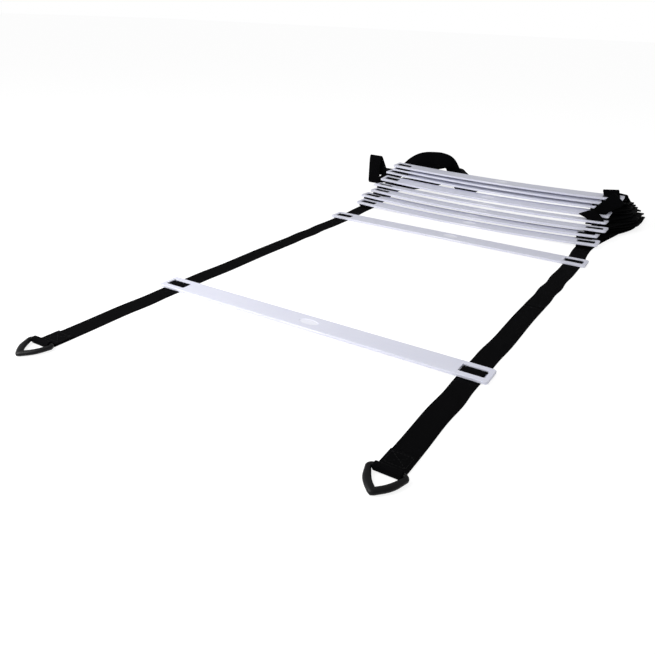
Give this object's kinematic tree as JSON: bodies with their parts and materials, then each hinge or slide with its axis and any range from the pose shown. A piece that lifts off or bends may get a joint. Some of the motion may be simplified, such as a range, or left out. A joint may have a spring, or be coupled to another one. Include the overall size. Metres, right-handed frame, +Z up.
{
  "type": "agility ladder",
  "caption": "Flat footwork ladder: pale plastic rungs threaded on two black webbing straps with a triangular ring at each strap end, front laid out and the rest piled up.",
  "frame": {"origin": "on the floor, under the middle of the ladder's outer box", "axes": "+Y along the ladder from the front rings to the piled rungs, +X to the right seen from the front rings, +Z up"},
  "size_m": [0.6358, 1.3306, 0.0999],
  "materials": {
    "rung_plastic": "moulded, pale lavender white, smooth satin",
    "webbing": "black woven polyester webbing, matt",
    "ring_plastic": "black moulded plastic, satin"
  },
  "bodies": {
    "webbing": {"strap_left_front_end": "webbing", "strap_left_front_stretch": "webbing", "strap_left_middle_front": "webbing", "strap_left_middle_rear": "webbing", "strap_left_rear_stretch": "webbing", "strap_left_fold_02_03": "webbing", "strap_right_front_end": "webbing", "strap_right_front_stretch": "webbing", "strap_right_middle_front": "webbing", "strap_right_middle_rear": "webbing", "strap_right_rear_stretch": "webbing", "strap_right_fold_02_03": "webbing"},
    "rung_01": {"rung_01": "rung_plastic", "strap_left_weave_01": "webbing", "strap_right_weave_01": "webbing"},
    "rung_02": {"rung_02": "rung_plastic", "strap_left_weave_02": "webbing", "strap_right_weave_02": "webbing"},
    "rung_03": {"rung_03": "rung_plastic", "strap_left_fold_03_04": "webbing", "strap_right_fold_03_04": "webbing"},
    "rung_04": {"rung_04": "rung_plastic", "strap_left_fold_04_05": "webbing", "strap_right_fold_04_05": "webbing"},
    "rung_05": {"rung_05": "rung_plastic", "strap_left_fold_05_06": "webbing", "strap_right_fold_05_06": "webbing"},
    "rung_06": {"rung_06": "rung_plastic", "strap_left_fold_06_07": "webbing", "strap_right_fold_06_07": "webbing"},
    "rung_07": {"rung_07": "rung_plastic", "strap_left_fold_07_08": "webbing", "strap_right_fold_07_08": "webbing"},
    "rung_08": {"rung_08": "rung_plastic", "strap_left_fold_08_09": "webbing", "strap_right_fold_08_09": "webbing"},
    "rung_09": {"rung_09": "rung_plastic", "strap_left_fold_09_10": "webbing", "strap_right_fold_09_10": "webbing"},
    "rung_10": {"rung_10": "rung_plastic", "strap_left_tail": "webbing", "strap_left_rear_end": "webbing", "strap_right_tail": "webbing", "strap_right_rear_end": "webbing"},
    "ring_front_left": {"ring_front_left": "ring_plastic"},
    "ring_front_right": {"ring_front_right": "ring_plastic"},
    "ring_rear_left": {"ring_rear_left": "ring_plastic"},
    "ring_rear_right": {"ring_rear_right": "ring_plastic"}
  },
  "joints": [
    {"name": "rung_01_slide", "type": "slide", "parent": "webbing", "child": "rung_01", "axis": [0, 1, 0], "range_m": [-0.14, 0.2], "deforming": ["strap_left_front_stretch", "strap_left_middle_front", "strap_right_front_stretch", "strap_right_middle_front"]},
    {"name": "rung_02_slide", "type": "slide", "parent": "webbing", "child": "rung_02", "axis": [0, 1, 0], "range_m": [-0.2, 0.06], "deforming": ["strap_left_middle_rear", "strap_left_rear_stretch", "strap_right_middle_rear", "strap_right_rear_stretch"]},
    {"name": "rung_03_lift", "type": "slide", "parent": "webbing", "child": "rung_03", "axis": [0, 0, 1], "range_m": [0, 0.1], "deforming": ["strap_left_fold_02_03", "strap_right_fold_02_03"]},
    {"name": "rung_04_lift", "type": "slide", "parent": "rung_03", "child": "rung_04", "axis": [0, 0, 1], "range_m": [0, 0.1], "deforming": ["strap_left_fold_03_04", "strap_right_fold_03_04"]},
    {"name": "rung_05_lift", "type": "slide", "parent": "rung_04", "child": "rung_05", "axis": [0, 0, 1], "range_m": [0, 0.1], "deforming": ["strap_left_fold_04_05", "strap_right_fold_04_05"]},
    {"name": "rung_06_lift", "type": "slide", "parent": "rung_05", "child": "rung_06", "axis": [0, 0, 1], "range_m": [0, 0.1], "deforming": ["strap_left_fold_05_06", "strap_right_fold_05_06"]},
    {"name": "rung_07_lift", "type": "slide", "parent": "rung_06", "child": "rung_07", "axis": [0, 0, 1], "range_m": [0, 0.1], "deforming": ["strap_left_fold_06_07", "strap_right_fold_06_07"]},
    {"name": "rung_08_lift", "type": "slide", "parent": "rung_07", "child": "rung_08", "axis": [0, 0, 1], "range_m": [0, 0.1], "deforming": ["strap_left_fold_07_08", "strap_right_fold_07_08"]},
    {"name": "rung_09_lift", "type": "slide", "parent": "rung_08", "child": "rung_09", "axis": [0, 0, 1], "range_m": [0, 0.1], "deforming": ["strap_left_fold_08_09", "strap_right_fold_08_09"]},
    {"name": "rung_10_lift", "type": "slide", "parent": "rung_09", "child": "rung_10", "axis": [0, 0, 1], "range_m": [0, 0.1], "deforming": ["strap_left_fold_09_10", "strap_right_fold_09_10"]},
    {"name": "ring_front_left_swing", "type": "hinge", "parent": "webbing", "child": "ring_front_left", "pos_m": [-0.22812, -0.62834, 0.0048], "axis": [-1, 0, 0], "range_deg": [0, 150]},
    {"name": "ring_front_right_swing", "type": "hinge", "parent": "webbing", "child": "ring_front_right", "pos_m": [0.23588, -0.62834, 0.0048], "axis": [-1, 0, 0], "range_deg": [0, 150]},
    {"name": "ring_rear_left_swing", "type": "hinge", "parent": "rung_10", "child": "ring_rear_left", "pos_m": [-0.09348, 0.51784, 0.0053], "axis": [1, 0, 0], "range_deg": [0, 150]},
    {"name": "ring_rear_right_swing", "type": "hinge", "parent": "rung_10", "child": "ring_rear_right", "pos_m": [0.20905, 0.62834, 0.0053], "axis": [1, 0, 0], "range_deg": [0, 150]}
  ]
}
